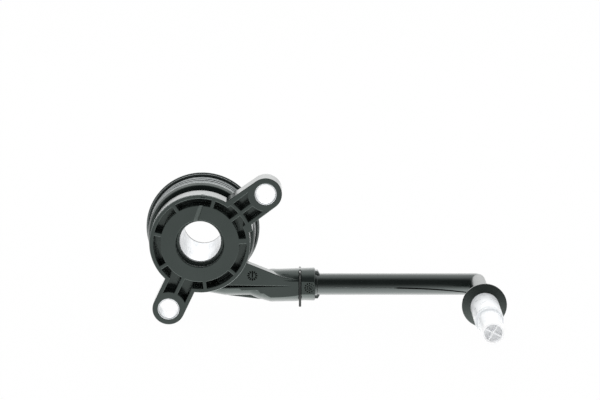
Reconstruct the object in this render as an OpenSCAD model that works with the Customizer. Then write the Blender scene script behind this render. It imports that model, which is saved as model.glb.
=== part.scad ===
// Clutch slave cylinder: a ring-shaped hydraulic cylinder that sits round the gearbox
// input shaft and pushes a release bearing along a steel guide sleeve.
// X runs along the feed pipe, Y along the shaft from the gearbox to the clutch, Z is up.
// The origin is on the shaft axis, in the plane of the mounting face. Millimetres.

/* [Guide sleeve] */
// Bore radius of the guide sleeve
sleeve_bore_r = 13.75; // [12:0.25:15]
// Wall of the sleeve tube
sleeve_wall = 1.25; // [0.8:0.05:1.8]
// Length of the sleeve tube
sleeve_len = 49; // [46:1:60]
// Gap between the sleeve's flange and the wall of the chamber
flange_gap = 2; // [1:0.25:2.5]
// Thickness of the flange
sleeve_flange_t = 1.6; // [1:0.1:2.4]
// Section diameter of the sealing ring under the flange
sleeve_ring_d = 1.8; // [1.4:0.1:2.2]
// How much wider than the sleeve the hole in the mounting face is, on the radius
lead_in = 0.7; // [0.4:0.1:1]
// Thickness of the lip that covers the sleeve's end
lip_t = 1; // [0.6:0.1:1.6]

/* [Cylinder] */
// Radial width of the ring-shaped chamber round the sleeve
chamber_w = 7.5; // [7:0.25:8.5]
// Wall of the cylinder
cyl_wall = 3.5; // [3:0.25:4.5]
// Thickness of the web between the mounting face and the chamber
web_t = 7; // [6:0.5:8]
// Running clearance of the piston on the sleeve and in the bore
run_gap = 0.08; // [0.04:0.01:0.1]
// Travel of the piston
stroke = 8; // [4:0.5:8]
// Gap left at full retraction between the cylinder mouth and the spring collar
end_gap = 1; // [0.5:0.25:2]

/* [Mounting face] */
// Outer radius of the ribbed rim
rim_r = 33.3; // [32.1:0.3:34.2]
// Wall of the rim
rim_wall = 2.5; // [1.8:0.1:3.2]
// Depth of the ribbed section
face_depth = 13; // [12.6:0.2:14]
// Skin left behind the pockets
pocket_floor = 2; // [1.2:0.2:3]
// Width of the narrow ribs between disc and rim
rib_w = 2.3; // [1.6:0.1:3]
// Width of the wide rib at the feed side
wide_rib_w = 3.6; // [2.4:0.2:5]
// Width of the drain groove across the disc
drain_w = 2.6; // [1.5:0.1:3.5]
// Depth of the drain groove and of the notch in the rim
drain_depth = 1.2; // [0.4:0.1:1.5]

/* [Lugs] */
// Upper bolt hole, sideways from the shaft axis
upper_x = 43.6; // [42:0.2:48]
// Upper bolt hole, above the shaft axis
upper_z = 33.7; // [32.1:0.2:36.1]
// Lower bolt hole, sideways from the shaft axis
lower_x = -21.3; // [-24:0.2:-19]
// Lower bolt hole, above the shaft axis
lower_z = -44.7; // [-48.1:0.2:-43.9]
// Radius of the lug ends
lug_r = 10.7; // [9.8:0.1:12]
// Half width of the upper lug at the shaft, on its upper side
root_above = 12.3; // [11:0.1:13]
// Half width of the upper lug at the shaft, on its lower side
root_below = 10.3; // [9.8:0.1:11]
// Thickness of the lugs
lug_t = 13; // [12:0.5:15]
// Side wall of the lugs beside their pockets
lug_wall = 2.7; // [1.8:0.1:3.4]
// Radius of the solid boss round each bush
boss_r = 11.7; // [10.8:0.1:12.4]
// Bore radius of the bushes
bush_bore_r = 6.4; // [5.5:0.1:6.8]
// Wall of the bushes
bush_wall = 0.8; // [0.5:0.1:1.2]

/* [Preload spring] */
// Distance from the mounting face to the spring flange
seat_y = 21.6; // [20:0.4:22.4]
// Thickness of the spring flange
seat_t = 3; // [2:0.25:4]
// Radius of the spring flange at its front edge
seat_r = 35; // [34:0.25:36.5]
// How much wider the flange is at its rear edge, on the radius
seat_flare = 1; // [0.4:0.1:1.4]
// Length of the spring as fitted, with the piston fully out
spring_len = 17.5; // [15:0.5:20]
// Diameter of the spring wire
wire_d = 1.8; // [1.4:0.1:2.2]
// Number of turns, with the closed end turns
spring_turns = 4.4; // [3.5:0.1:5]

/* [Piston] */
// Length of the piston in front of the spring collar
piston_len = 16; // [13:0.5:17]
// Length of the lip seal in front of the piston
seal_len = 4.5; // [3:0.5:5.5]
// How much narrower the piston's rear spigot is than the cylinder bore, on the radius
spigot_step = 2.1; // [1.4:0.1:3]
// Length of the spigot behind the spring collar
spigot_len = 2.4; // [2:0.2:4]
// Radial width of the wiper ring in the cylinder mouth
wiper_w = 2.1; // [1.4:0.1:2.4]
// Length of the wiper ring
wiper_len = 2.2; // [1.5:0.1:3]

/* [Spring collar] */
// How far the collar reaches past the spring, on the radius
collar_edge = 2.3; // [1.6:0.1:3]
// How far the collar stands out round the bearing's cup at least
collar_step = 2.3; // [1.6:0.1:3]
// Thickness of the collar
collar_t = 3; // [2.4:0.2:4]
// Wall of the cup that holds the bearing
cup_wall = 1.2; // [0.8:0.1:1.6]
// Depth of that cup
cup_depth = 6; // [4:0.5:7]
// Width of the snap ring that holds the collar on the piston
snap_w = 1.1; // [0.8:0.1:1.4]
// How far the snap ring stands out from the spigot
snap_lip = 0.7; // [0.4:0.1:1]

/* [Release bearing] */
// Ball diameter
ball_d = 7.14; // [6:0.1:7.4]
// Number of balls
ball_count = 18; // [12:1:20]
// How far the circle of the balls lies outside the middle between bore and outside
pitch_shift = 0.65; // [0.2:0.05:1]
// Outer radius of the bearing
bearing_r = 34.8; // [34.3:0.1:35.2]
// Clearance of the turning ring's bore round the snap ring
bore_gap = 0.6; // [0.3:0.1:1.2]
// Width of the bearing
bearing_w = 11.4; // [10.8:0.1:13]
// How far the contact face stands out behind the bearing
contact_h = 3.6; // [2.5:0.1:5]
// Thickness of the bearing shields
shield_t = 0.5; // [0.3:0.1:0.7]
// Clearance between parts of the bearing that turn past each other
turn_gap = 0.4; // [0.25:0.05:0.6]
// Clearance of each ball in the cage and in the raceways
ball_gap = 0.05; // [0.02:0.01:0.1]

/* [Feed arm] */
// Distance from the mounting face to the feed axis
feed_y = 12; // [11:0.25:12.5]
// Height of the feed axis
feed_z = -30.9; // [-31.7:0.2:-30.5]
// Distance from the mounting face to the flat front of the arm
flat_y = 2.7; // [2:0.1:3.4]
// Thickness of the arm's front plate
arm_t = 6.2; // [5:0.1:8.5]
// Radius of the arm round the fluid channel
arm_r = 7.3; // [6.6:0.1:8]
// Where the socket begins
socket_x = 46; // [44:0.5:49]
// Length of the socket
socket_len = 30.1; // [28.1:0.1:33]
// Bore radius of the socket
socket_bore_r = 7.7; // [7.3:0.1:8]
// Wall of the socket at its mouth
socket_wall = 3.4; // [2.9:0.1:4]
// Depth of the socket bore
socket_depth = 25; // [22:0.5:26]
// Radius of the fluid channel in the arm
channel_r = 2; // [1.5:0.1:2.5]

/* [Feed pipe] */
// Outer radius of the straight pipe
pipe_r = 7.2; // [6.6:0.1:7.4]
// Bore radius of the pipe
pipe_bore_r = 2.2; // [1.6:0.1:2.6]
// Clearance of the pipe's spigot in the socket
spigot_gap = 0.1; // [0.05:0.01:0.2]
// Section diameter of the sealing ring on the spigot
pipe_ring_d = 1.9; // [1.5:0.1:2.3]
// Distance from the shaft axis to the outlet branch
elbow_x = 184.5; // [150:0.5:219.5]
// Outer radius of the outlet branch
branch_r = 5.9; // [5.4:0.1:6.6]
// Height of the branch's axis above the pipe's axis
branch_lift = 1.1; // [0.2:0.1:1.2]
// Thickness of the stop collar at the socket mouth
stop_t = 1.9; // [1.2:0.1:3]
// Height of the two stop tabs above the pipe
tab_h = 2.3; // [1.4:0.1:3.2]

/* [Retaining clip] */
// Diameter of the clip wire
clip_d = 1.6; // [1.3:0.1:1.8]
// Distance from the socket mouth to the clip
clip_from_mouth = 10; // [8:0.5:12]
// Material between the clip's bridge and the socket's bore
clip_cover = 1; // [0.6:0.1:1.1]
// How deep the clip's legs cut into the pipe's spigot
clip_bite = 0.5; // [0.2:0.1:0.7]
// How far the legs reach below the pipe axis
clip_reach = 13.2; // [12:0.2:17]

/* [Bell housing seal] */
// Distance from the mounting face to the middle of the seal disc, towards the gearbox
seal_y = 41.1; // [38.1:0.5:49.6]
// Radius of the seal disc
seal_r = 14.45; // [13:0.25:18]
// Thickness of the seal disc's edge
seal_edge_t = 1.7; // [1.2:0.1:2.5]
// Wall of the seal disc's hub round the branch
hub_wall = 2.2; // [1.8:0.1:3]
// Length of the hub behind the middle of the disc
hub_back = 2.6; // [2.2:0.1:3.6]
// Length of the hub in front of the middle of the disc
hub_front = 2.4; // [2:0.1:3.4]

/* [Line connector] */
// How far the shoulder that the cap is pushed onto stands out past the seal's seat
shoulder_step = 1.2; // [0.8:0.1:1.6]
// Length of the shoulder
shoulder_len = 6; // [4:0.5:9]
// Radius of the connector spigot
tip_r = 5; // [4.4:0.1:5.6]
// Length of the connector spigot
tip_len = 45; // [29:1:46]
// Section diameter of the sealing ring on the connector
tip_ring_d = 1.8; // [1.5:0.1:2.2]

/* [Transit cap] */
// Wall of the cap
cap_wall = 1.4; // [1:0.1:1.7]
// Clearance of the cap on the connector's shoulder
cap_gap = 0.05; // [0.03:0.01:0.1]
// Length of the wide part of the cap
cap_wide_len = 32.7; // [31.7:0.5:40.2]
// Gap between the connector spigot and the narrow part of the cap, at the step
cap_step_gap = 1.4; // [0.8:0.1:2]
// The same gap at the spigot's end
cap_end_gap = 0.5; // [0.3:0.1:0.8]
// Gap between the spigot's end and the floor of the cap
cap_floor_gap = 1.1; // [0.5:0.1:3]
// Depth of the recess in the cap's end
cap_recess = 4; // [3:0.5:6]

/* [Hidden] */
$fn = 96;

plastic = [0.15, 0.16, 0.155];
rubber = [0.08, 0.08, 0.08];
steel = [0.72, 0.73, 0.75];
bright_steel = [0.85, 0.86, 0.88];
milky = [0.9, 0.92, 0.94];

// Radii of the sleeve and the cylinder
sleeve_r = sleeve_bore_r + sleeve_wall;
cyl_bore_r = sleeve_r + chamber_w;
cyl_r = cyl_bore_r + cyl_wall;
flange_r = cyl_bore_r - flange_gap;
lead_r = sleeve_r + lead_in;
lip_r = sleeve_bore_r + 0.2;
ring_inner_r = lead_r + 1.2;
pocket_r = rim_r - rim_wall;
bush_r = bush_bore_r + bush_wall;

// Radii of spring, piston spigot, collar and bearing, each from the piece that it fits
spring_r = seat_r + seat_flare - wire_d / 2;
spigot_r = cyl_bore_r - spigot_step;
snap_r = spigot_r + snap_lip;
cup_r = bearing_r + cup_wall;
// The collar covers both the spring and the cup
collar_r = max(seat_r + seat_flare + collar_edge, cup_r + collar_step);
inner_bore_r = snap_r + bore_gap;
pitch_r = (bearing_r + inner_bore_r) / 2 + pitch_shift;

// Stations along the shaft, from the mounting face, with the piston fully out
seat_end = seat_y + seat_t;
collar_y = seat_end + spring_len;
cyl_end = collar_y - stroke - end_gap;
piston_y = collar_y - piston_len;
bearing_y = collar_y + collar_t;
bearing_end = bearing_y + bearing_w;
sleeve_end = web_t + sleeve_len;
snap_groove = 0.8;

// Rounded front edge of the collar, and the groove between it and the rear edge
collar_front_r = collar_r - 0.7;
collar_groove_r = collar_r - 1.5;
front_edge_t = 0.9;
groove_end = 1.7;

// Bearing, with its balls a little in front of the middle to make room for the cage
ball_r = ball_d / 2;
cage_offset = 0.57;
ball_y = bearing_y + bearing_w / 2 - cage_offset;
race_land = 0.75 * ball_r;
outer_land_r = pitch_r + race_land;
inner_land_r = pitch_r - race_land;
shield_inset = 0.4;
inner_start = bearing_y + 0.8;
cage_half = race_land - 3 * turn_gap;

// Lugs, given by their direction and distance from the shaft axis
upper_dir = atan2(upper_z, upper_x);
lower_dir = atan2(lower_z, lower_x);
upper_dist = norm([upper_x, upper_z]);
lower_dist = norm([lower_x, lower_z]);
lug_inner = lug_r - lug_wall;
lug_start = cyl_r - 6;
// Narrow ribs between disc and rim, anticlockwise from the pipe side in degrees
rib_dirs = [72, 123, 167, 212, 276, 318];
wide_rib_dir = 3.8;
notch_dir = 85.7;
// The rim runs on across the upper lug, a little wider there
arch_r = rim_r + 2;
arch_wall = 2.3;

// Feed arm, with its stations along X
socket_r = socket_bore_r + socket_wall;
socket_end = socket_x + socket_len;
socket_root_r = socket_r - 1;
socket_floor = socket_end - socket_depth;
channel_end = 9;
// The arm's rounded inner end, the end of its plain neck, and where it is as wide as the socket
nose_x = channel_end - 6;
neck_end = socket_x - 13;
flare_mid = socket_x - 9.7;
flare_end = socket_x - 6;
// The front facet of the socket, which leans forward, and the slot behind its lower edge
facet_x = socket_x + 8.8;
facet_tilt = 1;
slot_end = facet_x + 5.4;
slot_start = channel_end + 3;
// The arm's plate: height at the rim, inner end, and the bend of its lower edge
plate_root_z = -11;
plate_start = channel_end - 5;
plate_bend = channel_end + 18;
belly_drop = 0.7;
// The rib below the arm, behind its middle
keel_t = 2.5;
clip_x = socket_end - clip_from_mouth;
clip_slack = 0.15;
clip_leg = socket_bore_r - clip_bite + clip_d / 2;
clip_bridge = socket_bore_r + clip_cover + clip_d / 2;
tab_r = pipe_r + tab_h;
tab_w = 3.8;
pipe_ring_x = socket_floor + 4;

// The pipe's end is domed, a quarter of an ellipse from 1 mm before the branch's axis
dome_len = 6;
pipe_dome = [
    for (turn = [0 : 7.5 : 90]) [pipe_r * cos(turn), elbow_x - 1 + dome_len * sin(turn)]
];

// Outlet branch, its stations counted along Y and so below zero
branch_z = feed_z + branch_lift;
seal_mid = -seal_y;
grommet_back = seal_mid + hub_back;
grommet_front = seal_mid - hub_front;
grommet_r = branch_r + 0.6;
seal_hub_r = grommet_r + hub_wall;
shoulder_r = grommet_r + shoulder_step;
shoulder_end = grommet_front - shoulder_len;
tip_end = shoulder_end - tip_len;
tip_ring_r = tip_r + 0.15;
tip_ring_y = tip_end + 8;
ring_slack = 0.2;

// Transit cap
cap_start = grommet_front - 0.3;
cap_step = cap_start - cap_wide_len;
cap_floor = tip_end - cap_floor_gap - cap_wall;
cap_end = cap_floor - cap_recess;
cap_bore_r = shoulder_r + cap_gap;
cap_r = cap_bore_r + cap_wall;
cap_step_bore_r = tip_r + cap_step_gap;
cap_end_bore_r = tip_r + cap_end_gap;
cap_lip_r = cap_end_bore_r + cap_wall;
cap_blade_dirs = [60, 155];
cap_blade_t = 0.9;

// Turns a profile of [radius, station] points round the shaft axis
module turned(points) {
    rotate([-90, 0, 0])
        rotate_extrude()
            polygon(points);
}

// A ring about the shaft axis between two radii and two stations
module ring(inner, outer, y0, y1) {
    turned([[inner, y0], [outer, y0], [outer, y1], [inner, y1]]);
}

// A seal ring of round section about the shaft axis
module round_ring(mean_r, section_r, y) {
    rotate([-90, 0, 0])
        rotate_extrude()
            translate([mean_r, y])
                circle(section_r, $fn = 32);
}

// Turns a profile of [radius, station] points round the feed axis, which lies along X
module turned_on_feed(points) {
    translate([0, feed_y, feed_z])
        rotate([0, 90, 0])
            rotate_extrude()
                polygon(points);
}

// Puts what is turned round the shaft axis onto the outlet branch
module on_branch() {
    translate([elbow_x, 0, branch_z])
        children();
}

// Extrudes a shape drawn in X and Z between two stations along Y
module slab(y0, y1) {
    translate([0, y1, 0])
        rotate([90, 0, 0])
            linear_extrude(height = y1 - y0)
                children();
}

// A flat bar from the shaft axis outwards, in one direction
module spoke(dir, length, width) {
    rotate(dir)
        translate([0, -width / 2])
            square([length, width]);
}

// The outline of one lug, from inside the rim to its round end
module lug_outline(dir, dist, below, above) {
    rotate(dir) {
        translate([dist, 0])
            circle(lug_r);
        polygon([[lug_start, -below], [dist, -lug_r], [dist, lug_r], [lug_start, above]]);
    }
}

// The two pockets of one lug, between its side walls and either side of its middle rib
module lug_pocket_outline(dir, dist, from) {
    difference() {
        rotate(dir)
            translate([from, -lug_inner])
                square([dist - from, 2 * lug_inner]);
        rotate(dir)
            translate([dist, 0])
                circle(boss_r);
        spoke(dir, dist, rib_w);
    }
}

// All pockets that open in the mounting face
module pocket_outline() {
    difference() {
        union() {
            difference() {
                circle(pocket_r);
                circle(cyl_r);
            }
            // Beside the upper lug the pockets reach out to the arch
            intersection() {
                difference() {
                    circle(arch_r - arch_wall);
                    circle(cyl_r);
                }
                rotate(upper_dir)
                    translate([0, -lug_inner])
                        square([rim_r + lug_r, 2 * lug_inner]);
            }
            difference() {
                lug_pocket_outline(upper_dir, upper_dist, cyl_r);
                circle(arch_r);
            }
            difference() {
                lug_pocket_outline(lower_dir, lower_dist, cyl_r - 2);
                circle(cyl_r);
            }
        }
        for (dir = rib_dirs)
            spoke(dir, rim_r, rib_w);
        spoke(wide_rib_dir, rim_r, wide_rib_w);
        spoke(upper_dir, upper_dist, rib_w);
        spoke(lower_dir, lower_dist, rib_w);
    }
}

// The front plate of the feed arm, which becomes a thin ledge below the slot
module arm_outline() {
    polygon([
        [rim_r - 9.3, plate_root_z], [facet_x, feed_z + 7.2], [socket_end - 6, feed_z + 4.6],
        [facet_x + 7, feed_z - 1.2], [plate_bend, feed_z - 1.95],
        [plate_bend - 1, feed_z - 0.8], [plate_start, feed_z - 0.8], [plate_start, feed_z + 3]
    ]);
}

// The slot between plate and ledge, closing to a point
module slot_outline() {
    polygon([
        [slot_start, feed_z + 1.95], [slot_end, feed_z + 1.2], [slot_start, feed_z + 0.15]
    ]);
}

// The body round the fluid channel, which swells into the socket
module arm_core() {
    turned_on_feed([
        [0, nose_x], [arm_r - 3.3, nose_x], [arm_r - 2, nose_x + 2],
        [arm_r, channel_end + 7], [arm_r, neck_end], [arm_r + 1.4, flare_mid],
        [socket_root_r, flare_end], [socket_root_r, socket_x], [socket_r, socket_end - 0.6],
        [socket_r - 0.6, socket_end], [0, socket_end]
    ]);
    // The belly hangs a little lower than the socket
    translate([0, 0, -belly_drop])
        turned_on_feed([
            [0, neck_end + 0.5], [arm_r - 0.9, neck_end + 0.5], [socket_root_r - 0.8, flare_end],
            [socket_r, socket_x + 0.7], [socket_r - 0.3, socket_end - 12.5],
            [socket_r - 1, socket_end - 6], [0, socket_end - 6]
        ]);
}

// The rib below the arm, with a straight lower edge that falls towards the socket
module keel() {
    slab(feed_y, feed_y + keel_t)
        polygon([
            [channel_end + 6, feed_z], [channel_end + 6, feed_z - arm_r + 0.2],
            [channel_end + 10, feed_z - arm_r - 0.6], [flare_end, feed_z - socket_root_r - 0.4],
            [socket_x, feed_z - socket_root_r - 0.6], [socket_x, feed_z]
        ]);
}

// Everything of the arm that the flat front trims
module feed_arm() {
    difference() {
        union() {
            slab(flat_y, flat_y + arm_t)
                arm_outline();
            arm_core();
            keel();
        }
        // The front is flat along the plate and leans forward along the socket
        translate([0, 0, feed_z - 2 * socket_r])
            linear_extrude(height = 4 * socket_r)
                polygon([
                    [-1, flat_y], [facet_x, flat_y], [socket_end + 1, flat_y - facet_tilt],
                    [socket_end + 1, -2 * socket_r], [-1, -2 * socket_r]
                ]);
        // The slot is deep beside the channel and shallow in front of the socket's bore
        slab(flat_y - 1, feed_y - socket_bore_r)
            slot_outline();
        slab(flat_y, feed_y - channel_r - 1.5)
            intersection() {
                slot_outline();
                translate([0, feed_z - arm_r])
                    square([socket_floor - 2, 2 * arm_r]);
            }
    }
}

// The end of the arch below the upper lug, where it steps back to the rim
module arch_end() {
    slab(0, face_depth)
        polygon([
            [rim_r - 3, 6.5], [rim_r + 1.5, 8.9], [rim_r + 0.8, 13.5], [rim_r - 3, 13.5]
        ]);
}

// What is cut out of the socket for the pipe's spigot and its clip
module socket_cuts() {
    turned_on_feed([
        [0, socket_floor], [socket_bore_r, socket_floor],
        [socket_bore_r, socket_end - 0.8], [socket_bore_r + 0.8, socket_end],
        [socket_bore_r + 0.8, socket_end + 1], [0, socket_end + 1]
    ]);
    slot_w = clip_d + 2 * clip_slack;
    // Hole for the bridge
    translate([clip_x, 0, feed_z + clip_bridge])
        rotate([-90, 0, 0])
            cylinder(d = slot_w, h = 2 * feed_y);
    // Grooves for the legs, which reach through to the spigot
    leg_in = clip_leg - clip_d / 2 - clip_slack;
    for (side = [-1, 1])
        translate([clip_x - slot_w / 2, feed_y + (side > 0 ? leg_in : -leg_in - 8),
            feed_z - socket_r - 4])
            cube([slot_w, 8, socket_r + 4 + clip_bridge + slot_w / 2]);
}

// The fluid channel from the socket to the chamber
module channel() {
    translate([channel_end - channel_r, feed_y, feed_z])
        rotate([0, 90, 0])
            cylinder(r = channel_r, h = socket_floor - channel_end + channel_r + 1);
    translate([channel_end, feed_y, feed_z])
        cylinder(r = channel_r - 0.2, h = -feed_z - 0.5 * (sleeve_r + cyl_bore_r));
}

module housing() {
    color(plastic)
        difference() {
            union() {
                slab(0, face_depth)
                    circle(rim_r);
                slab(0, lug_t) {
                    lug_outline(upper_dir, upper_dist, root_below, root_above);
                    lug_outline(lower_dir, lower_dist, lug_r, lug_r);
                }
                turned([
                    [0, 0], [cyl_r, 0], [cyl_r, seat_y - 1.5], [cyl_r + 1.5, seat_y],
                    [seat_r - 0.4, seat_y], [seat_r, seat_y + 0.5],
                    [seat_r + seat_flare, seat_end],
                    [cyl_r + 0.5, seat_end], [cyl_r, seat_end + 0.5], [cyl_r, cyl_end - 0.8],
                    [cyl_r - 0.8, cyl_end], [0, cyl_end]
                ]);
                arch_end();
                feed_arm();
            }
            slab(-1, face_depth - pocket_floor)
                pocket_outline();
            // Hole in the web, chamber and wiper seat
            turned([
                [0, -1], [lead_r + 0.5, -1], [lead_r + 0.5, 0], [lead_r, 0.5],
                [lead_r, web_t - lip_t - 0.6], [lead_r - 0.4, web_t - lip_t],
                [lip_r, web_t - lip_t], [lip_r, web_t], [cyl_bore_r, web_t],
                [cyl_bore_r, cyl_end - wiper_len], [cyl_bore_r + wiper_w, cyl_end - wiper_len],
                [cyl_bore_r + wiper_w, cyl_end + 1], [0, cyl_end + 1]
            ]);
            // Groove for the sleeve's sealing ring
            ring(ring_inner_r, ring_inner_r + sleeve_ring_d + ring_slack,
                web_t - sleeve_ring_d, web_t + 1);
            // Seats of the two bushes
            for (hole = [[upper_x, upper_z], [lower_x, lower_z]])
                translate([hole[0], -1, hole[1]])
                    rotate([-90, 0, 0])
                        cylinder(r = bush_r, h = lug_t + 2);
            // Drain groove across the disc and the notch in the rim
            slab(-1, drain_depth)
                polygon([
                    [-4, lead_r - 0.5], [drain_w - 4, lead_r - 0.5],
                    [drain_w, cyl_r + 0.5], [0, cyl_r + 0.5]
                ]);
            slab(-1, drain_depth)
                rotate(notch_dir)
                    translate([pocket_r + 0.8, -drain_w / 2])
                        square([rim_wall, drain_w]);
            socket_cuts();
            channel();
        }
}

module guide_sleeve() {
    flange_end = web_t + sleeve_flange_t;
    color(bright_steel)
        turned([
            [sleeve_bore_r + 0.8, web_t], [flange_r, web_t], [flange_r, flange_end],
            [sleeve_r + 0.6, flange_end], [sleeve_r, flange_end + 0.6],
            [sleeve_r, sleeve_end - 0.5], [sleeve_r - 0.5, sleeve_end],
            [sleeve_bore_r, sleeve_end], [sleeve_bore_r, web_t + 0.8]
        ]);
}

module sleeve_seal_ring() {
    section = sleeve_ring_d / 2;
    color(rubber)
        round_ring(ring_inner_r + ring_slack / 2 + section, section, web_t - section);
}

// A plain bush with a chamfered bore, standing in a lug
module bush(x, z) {
    color(bright_steel)
        translate([x, 0, z])
            turned([
                [bush_bore_r + 0.3, 0], [bush_r, 0], [bush_r, lug_t], [bush_bore_r + 0.3, lug_t],
                [bush_bore_r, lug_t - 0.3], [bush_bore_r, 0.3]
            ]);
}

module upper_bush() {
    bush(upper_x, upper_z);
}

module lower_bush() {
    bush(lower_x, lower_z);
}

// The spigot that goes into the socket, with grooves for its ring and the clip
module pipe_spigot() {
    r = socket_bore_r - spigot_gap;
    ring_x = pipe_ring_x;
    clip_half = clip_d / 2 + clip_slack;
    clip_floor = clip_leg - clip_d / 2 - spigot_gap;
    turned_on_feed([
        [0, socket_floor + 0.6], [r - 0.8, socket_floor + 0.6], [r, socket_floor + 1.4],
        [r, ring_x], [socket_bore_r - pipe_ring_d, ring_x],
        [socket_bore_r - pipe_ring_d, ring_x + pipe_ring_d + 2 * ring_slack],
        [r, ring_x + pipe_ring_d + 2 * ring_slack],
        [r, clip_x - clip_half], [clip_floor, clip_x - clip_half],
        [clip_floor, clip_x + clip_half], [r, clip_x + clip_half],
        [r, socket_end], [0, socket_end]
    ]);
}

// The two stop tabs at the socket mouth, each with a small gusset behind it
module stop_tabs() {
    x0 = socket_end;
    for (side = [-1, 1])
        translate([0, feed_y + tab_w / 2, feed_z])
            rotate([90, 0, 0])
                linear_extrude(height = tab_w)
                    polygon([
                        [x0, 0], [x0, side * tab_r], [x0 + stop_t, side * tab_r],
                        [x0 + stop_t + 1.2, side * (pipe_r + 0.2)], [x0 + stop_t + 1.2, 0]
                    ]);
}

module feed_pipe() {
    x0 = socket_end;
    ring_y = tip_ring_y;
    color(plastic)
        difference() {
            union() {
                pipe_spigot();
                turned_on_feed(concat(
                    [[0, x0], [pipe_r + 0.7, x0], [pipe_r + 0.7, x0 + stop_t - 0.6],
                        [pipe_r, x0 + stop_t]],
                    pipe_dome
                ));
                stop_tabs();
                on_branch()
                    translate([0, feed_y, 0])
                        rotate([90, 0, 0])
                            sphere(branch_r);
                on_branch()
                    turned([
                        [0, feed_y], [branch_r, feed_y], [branch_r, grommet_back + 3],
                        [branch_r + 1.6, grommet_back + 2.4], [branch_r + 1.6, grommet_back],
                        [grommet_r, grommet_back], [grommet_r, grommet_front],
                        [shoulder_r - 0.5, grommet_front], [shoulder_r, grommet_front - 0.5],
                        [shoulder_r, shoulder_end], [tip_r + 1, shoulder_end - 1.2],
                        [tip_r + 1, shoulder_end - 4], [tip_r, shoulder_end - 5],
                        [tip_r, ring_y + tip_ring_d + 2 * ring_slack],
                        [tip_ring_r - tip_ring_d, ring_y + tip_ring_d + 2 * ring_slack],
                        [tip_ring_r - tip_ring_d, ring_y], [tip_r, ring_y],
                        [tip_r, tip_end + 1.2], [tip_r - 1.2, tip_end], [0, tip_end]
                    ]);
            }
            translate([socket_floor, feed_y, feed_z])
                rotate([0, 90, 0])
                    cylinder(r = pipe_bore_r, h = elbow_x - socket_floor);
            on_branch()
                turned([[0, tip_end - 1], [pipe_bore_r, tip_end - 1],
                    [pipe_bore_r, feed_y + pipe_bore_r], [0, feed_y + pipe_bore_r]]);
        }
}

module pipe_seal_ring() {
    section = pipe_ring_d / 2;
    color(rubber)
        translate([pipe_ring_x + ring_slack + section, feed_y, feed_z])
            rotate([0, 90, 0])
                rotate_extrude()
                    translate([socket_bore_r - section, 0])
                        circle(section, $fn = 32);
}

module connector_seal_ring() {
    section = tip_ring_d / 2;
    color(rubber)
        on_branch()
            round_ring(tip_ring_r - section, section, tip_ring_y + ring_slack + section);
}

// A staple of round wire: the bridge goes through the socket, the legs hang either side
module retaining_clip() {
    bend = clip_d;
    leg_top = clip_bridge - bend;
    color(steel)
        translate([clip_x, feed_y, feed_z]) {
            translate([0, bend - clip_leg, clip_bridge])
                rotate([-90, 0, 0])
                    cylinder(d = clip_d, h = 2 * (clip_leg - bend));
            for (side = [0, 180])
                rotate(side) {
                    translate([0, bend - clip_leg, leg_top])
                        rotate([0, -90, 0])
                            rotate([0, 0, 270])
                                rotate_extrude(angle = 90)
                                    translate([bend, 0])
                                        circle(d = clip_d, $fn = 32);
                    translate([0, -clip_leg, -clip_reach])
                        cylinder(d = clip_d, h = clip_reach + leg_top);
                }
        }
}

// The rubber disc that closes the pipe's hole in the bell housing
module bell_housing_seal() {
    half = seal_edge_t / 2;
    color(rubber)
        on_branch()
            turned([
                [grommet_r, grommet_back], [seal_hub_r - 0.5, grommet_back],
                [seal_hub_r, grommet_back - 0.5], [seal_hub_r, seal_mid + half + 0.7],
                [seal_r - 0.4, seal_mid + half], [seal_r, seal_mid + half - 0.4],
                [seal_r, seal_mid - half + 0.3], [seal_r - 0.3, seal_mid - half],
                [seal_hub_r + 0.1, grommet_front + 0.5], [seal_hub_r - 0.5, grommet_front],
                [grommet_r, grommet_front]
            ]);
}

// The blades in the recessed end of the cap
module cap_blades() {
    for (dir = cap_blade_dirs)
        on_branch()
            slab(cap_end + 1.2, cap_floor)
                rotate(dir)
                    square([2 * cap_end_bore_r + 1, cap_blade_t], center = true);
}

module transit_cap() {
    color(milky) {
        on_branch()
            turned([
                [cap_bore_r, cap_start], [cap_r - 0.3, cap_start], [cap_r, cap_start - 0.3],
                [cap_r, cap_step + 2.5], [cap_r - 0.3, cap_step + 2.2],
                [cap_r - 0.3, cap_step + 0.4],
                [cap_r - 0.7, cap_step], [cap_step_bore_r + cap_wall, cap_step],
                [cap_lip_r, cap_end + 0.4], [cap_lip_r - 0.4, cap_end],
                [cap_end_bore_r + 0.4, cap_end], [cap_end_bore_r, cap_end + 0.4],
                [cap_end_bore_r, cap_floor], [0, cap_floor], [0, cap_floor + cap_wall],
                [cap_end_bore_r, cap_floor + cap_wall], [cap_step_bore_r, cap_step + 1],
                [cap_bore_r, cap_step + 3]
            ]);
        cap_blades();
    }
}

// Height along the spring at a share of its turns: the end turns lie closed
function spring_rise(share) =
    let (
        closed = 0.8 / spring_turns,
        low = wire_d / 2,
        high = spring_len - wire_d / 2,
        end_rise = 0.82 * wire_d,
        body = (share - closed) / (1 - 2 * closed)
    )
    share < closed ? low + end_rise * share / closed
        : share > 1 - closed ? high - end_rise * (1 - share) / closed
        : low + end_rise + body * (high - low - 2 * end_rise);

// One ring of points round the wire, in the plane through the shaft axis
function wire_ring(turn, rise, sides) = [
    for (k = [0 : sides - 1])
        let (
            across = spring_r + wire_d / 2 * cos(360 * k / sides),
            along = seat_end + rise + wire_d / 2 * sin(360 * k / sides)
        )
        [across * cos(turn), along, across * sin(turn)]
];

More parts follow.
